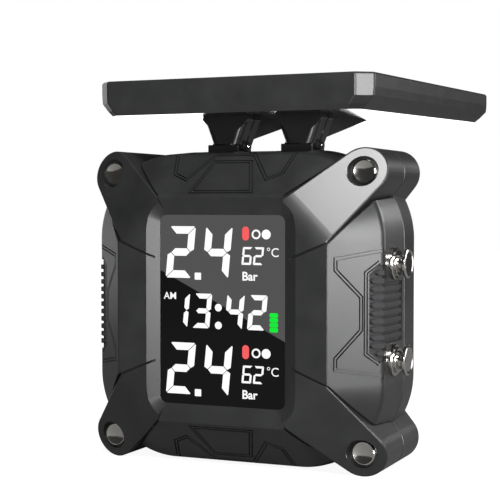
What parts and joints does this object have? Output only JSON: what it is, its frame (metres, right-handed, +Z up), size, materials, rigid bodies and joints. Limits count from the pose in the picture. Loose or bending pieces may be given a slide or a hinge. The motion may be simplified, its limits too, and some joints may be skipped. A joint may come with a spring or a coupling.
{
  "type": "tire pressure monitor",
  "caption": "Square handlebar tire pressure display with corner lugs, side push buttons and a tilting solar panel on two legs above it.",
  "frame": {"origin": "centre of the rear mounting face, on the pattern of four threaded inserts", "axes": "+X to the viewer's right, +Y out of the rear mounting face, +Z up; the display faces -Y"},
  "size_m": [0.0672, 0.1004, 0.0813],
  "materials": {
    "shell_plastic": "satin black moulded plastic",
    "bracket_plastic": "satin black moulded plastic",
    "panel_plastic": "semi-gloss black moulded plastic",
    "grip_rubber": "matt ribbed rubber",
    "silicone": "soft silicone",
    "window_glass": "dark tinted cover glass",
    "panel_glass": "clear cover glass",
    "silicon_cells": "dark blue cells with fine silver grid",
    "chrome": "polished chrome",
    "polished_steel": "polished steel",
    "screw_steel": "zinc plated steel",
    "tin_plate": "tin plate",
    "brass": "plain brass",
    "display_cell": "black display cell",
    "light_guide": "white moulded light guide",
    "inner_plastic": "black moulded plastic",
    "board_laminate": "green solder mask",
    "chip_resin": "moulded resin",
    "battery_foil": "laminated pouch foil",
    "adhesive": "foam adhesive",
    "nylon": "natural nylon",
    "wire_jacket": "insulated lead"
  },
  "bodies": {
    "housing": {"antenna_coil": "brass", "battery_cell": "battery_foil", "battery_connector": "light_guide", "battery_tape": "adhesive", "board_screws": "screw_steel", "button_collar_lower": "chrome", "button_collar_upper": "chrome", "button_nuts": "screw_steel", "buzzer": "inner_plastic", "case_screws": "screw_steel", "controller_chip": "chip_resin", "corner_plugs": "polished_steel", "display_window": "window_glass", "foot_left": "bracket_plastic", "foot_plates": "tin_plate", "foot_right": "bracket_plastic", "foot_screws": "screw_steel", "friction_washers": "nylon", "front_shell": "shell_plastic", "grip_left": "grip_rubber", "grip_right": "grip_rubber", "hinge_pins": "polished_steel", "housing_lead": "wire_jacket", "lcd_backlight": "light_guide", "lcd_connector_strip": "silicone", "lcd_holder": "inner_plastic", "lcd_panel": "display_cell", "main_board": "board_laminate", "mounting_inserts": "brass", "perimeter_seal": "silicone", "radio_chip": "chip_resin", "rear_cover": "shell_plastic", "return_spring_lower": "screw_steel", "return_spring_upper": "screw_steel", "rf_shield": "tin_plate", "side_switch_lower": "inner_plastic", "side_switch_upper": "inner_plastic", "window_gasket": "adhesive"},
    "button_upper": {"button_upper": "chrome", "button_seal_upper": "silicone", "retaining_clip_upper": "screw_steel"},
    "button_lower": {"button_lower": "chrome", "button_seal_lower": "silicone", "retaining_clip_lower": "screw_steel"},
    "plunger_upper": {"switch_plunger_upper": "nylon"},
    "plunger_lower": {"switch_plunger_lower": "nylon"},
    "panel": {"leg_left": "bracket_plastic", "leg_right": "bracket_plastic", "leg_screws": "screw_steel", "panel_tray": "panel_plastic", "panel_glass": "panel_glass", "cell_board": "board_laminate", "solar_cells": "silicon_cells", "panel_lead": "wire_jacket"}
  },
  "joints": [
    {"name": "button_upper_press", "type": "slide", "parent": "housing", "child": "button_upper", "axis": [-1, 0, 0], "range_m": [0, 0.0007], "stiffness_N_per_m": 300, "springref_m": -0.002, "deforming": ["return_spring_upper"]},
    {"name": "button_lower_press", "type": "slide", "parent": "housing", "child": "button_lower", "axis": [-1, 0, 0], "range_m": [0, 0.0007], "stiffness_N_per_m": 300, "springref_m": -0.002, "deforming": ["return_spring_lower"]},
    {"name": "plunger_upper_press", "type": "slide", "parent": "housing", "child": "plunger_upper", "axis": [-1, 0, 0], "range_m": [0, 0.0007]},
    {"name": "plunger_lower_press", "type": "slide", "parent": "housing", "child": "plunger_lower", "axis": [-1, 0, 0], "range_m": [0, 0.0007]},
    {"name": "panel_tilt", "type": "hinge", "parent": "housing", "child": "panel", "pos_m": [0, -0.00615, 0.0335], "axis": [1, 0, 0], "range_deg": [-20, 12]}
  ],
  "couplings": [
    {"joint": "plunger_upper_press", "follows": "button_upper_press", "ratio": 1},
    {"joint": "plunger_lower_press", "follows": "button_lower_press", "ratio": 1}
  ]
}
